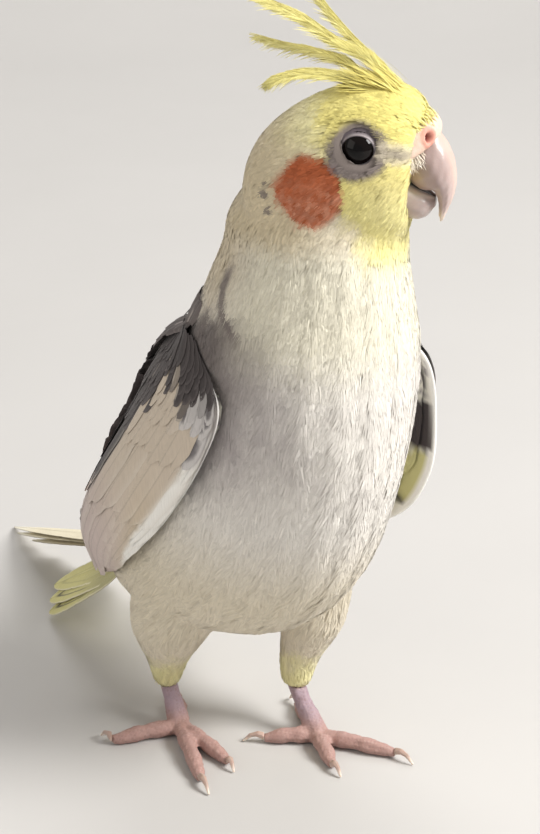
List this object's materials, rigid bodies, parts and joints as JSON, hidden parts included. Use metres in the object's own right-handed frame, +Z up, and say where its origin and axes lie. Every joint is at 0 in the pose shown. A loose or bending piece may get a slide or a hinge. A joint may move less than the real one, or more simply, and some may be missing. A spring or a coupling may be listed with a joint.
{
  "type": "cockatiel",
  "caption": "Life-size standing cockatiel, pied yellow, white and grey, head turned to its left, crest raised and tail resting on the floor.",
  "frame": {"origin": "middle of the bounding box at floor level, under the lower back", "axes": "+Z up, the bird faces -Y, its left side is towards +X"},
  "size_m": [0.0652, 0.1802, 0.1797],
  "materials": {
    "body_coat": "soft matte feathers, white to cream with a lavender-grey wash on the breast and tan shade below",
    "head_coat": "fine short feathers, lemon yellow on the face with an orange-brown cheek patch",
    "crest_plume": "soft yellow crest plumes with loose barbs",
    "wing_coat": "smooth cream and pinkish-beige wing coverts, charcoal at the shoulder, white leading edge",
    "flight_quill": "grey flight feathers with a faint satin sheen",
    "tail_quill": "cream and yellow tail feathers with a faint satin sheen",
    "bill_horn": "smooth pinkish-grey horn, satin, paler along the ridge and the tip",
    "cere_skin": "bare pink skin, slightly moist",
    "eye_gloss": "wet black eye, glossy",
    "leg_skin": "scaly pink-grey skin, matte",
    "claw_horn": "pale horn, satin, translucent at the tip"
  },
  "bodies": {
    "root": {"trunk": "body_coat", "neck": "body_coat", "thigh_left": "body_coat", "thigh_right": "body_coat", "head": "head_coat", "crest_long": "crest_plume", "crest_front": "crest_plume", "crest_low": "crest_plume", "crest_wisp": "crest_plume", "wing_left": "wing_coat", "wing_right": "wing_coat", "primaries_left": "flight_quill", "primaries_right": "flight_quill", "tail_middle": "tail_quill", "tail_left": "tail_quill", "tail_right": "tail_quill", "bill_upper": "bill_horn", "bill_lower": "bill_horn", "cere": "cere_skin", "eye_left": "eye_gloss", "eye_right": "eye_gloss", "shank_left": "leg_skin", "shank_right": "leg_skin", "toe_left_inner": "leg_skin", "claw_left_inner": "claw_horn", "toe_left_outer": "leg_skin", "claw_left_outer": "claw_horn", "toe_left_back_outer": "leg_skin", "claw_left_back_outer": "claw_horn", "toe_left_back_inner": "leg_skin", "claw_left_back_inner": "claw_horn", "toe_right_inner": "leg_skin", "claw_right_inner": "claw_horn", "toe_right_outer": "leg_skin", "claw_right_outer": "claw_horn", "toe_right_back_outer": "leg_skin", "claw_right_back_outer": "claw_horn", "toe_right_back_inner": "leg_skin", "claw_right_back_inner": "claw_horn"}
  },
  "joints": []
}
